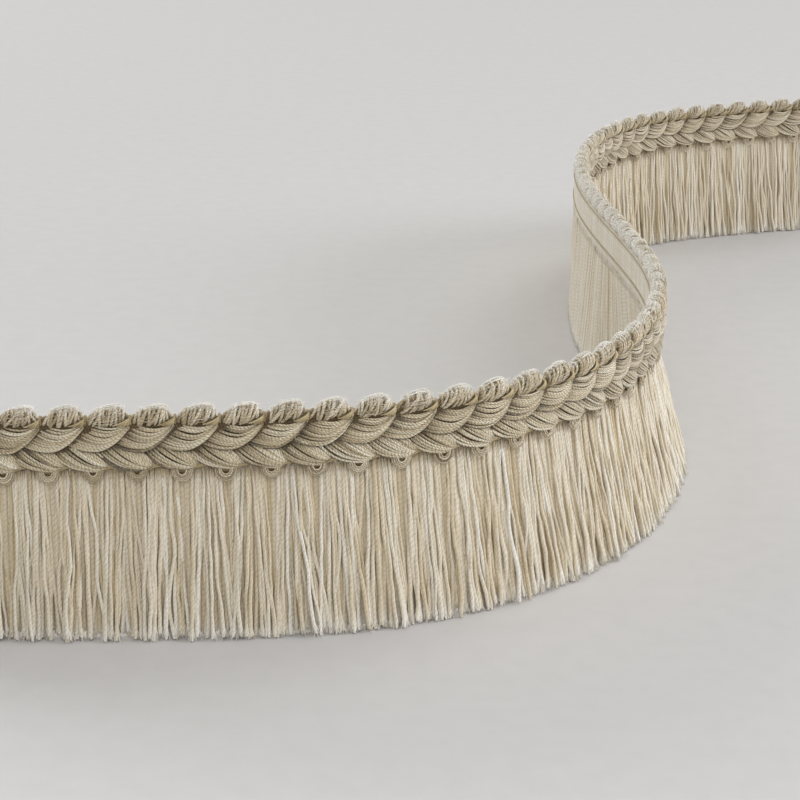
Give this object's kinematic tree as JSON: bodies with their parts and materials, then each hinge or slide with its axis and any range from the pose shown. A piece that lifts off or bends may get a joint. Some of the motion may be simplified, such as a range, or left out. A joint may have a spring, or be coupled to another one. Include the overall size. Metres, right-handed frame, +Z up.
{
  "type": "brush fringe trim with a plaited braid and picot edge",
  "caption": "Cut length of furnishing fringe standing in an S curve: plaited braid heading with a picot edge over a skirt of cut yarns.",
  "frame": {"origin": "under the middle of the trim's footprint, at the height that its strand ends stand on", "axes": "+Z up along the hanging strands turned upright, +Y away from the viewer, +X to the viewer's right"},
  "size_m": [0.2494, 0.3384, 0.045],
  "materials": {
    "cream_yarn": "matt twisted cream yarn",
    "taupe_yarn": "slightly lustrous taupe yarn",
    "picot_yarn": "soft taupe yarn with pale fuzz"
  },
  "bodies": {
    "root": {"ground_band": "cream_yarn", "plaited_braid": "taupe_yarn", "picot_edge": "picot_yarn", "skirt_01": "cream_yarn", "skirt_02": "cream_yarn", "skirt_03": "cream_yarn", "skirt_04": "cream_yarn", "skirt_05": "cream_yarn", "skirt_06": "cream_yarn", "skirt_07": "cream_yarn", "skirt_08": "cream_yarn", "skirt_09": "cream_yarn", "skirt_10": "cream_yarn", "skirt_11": "cream_yarn", "skirt_12": "cream_yarn"}
  },
  "joints": []
}
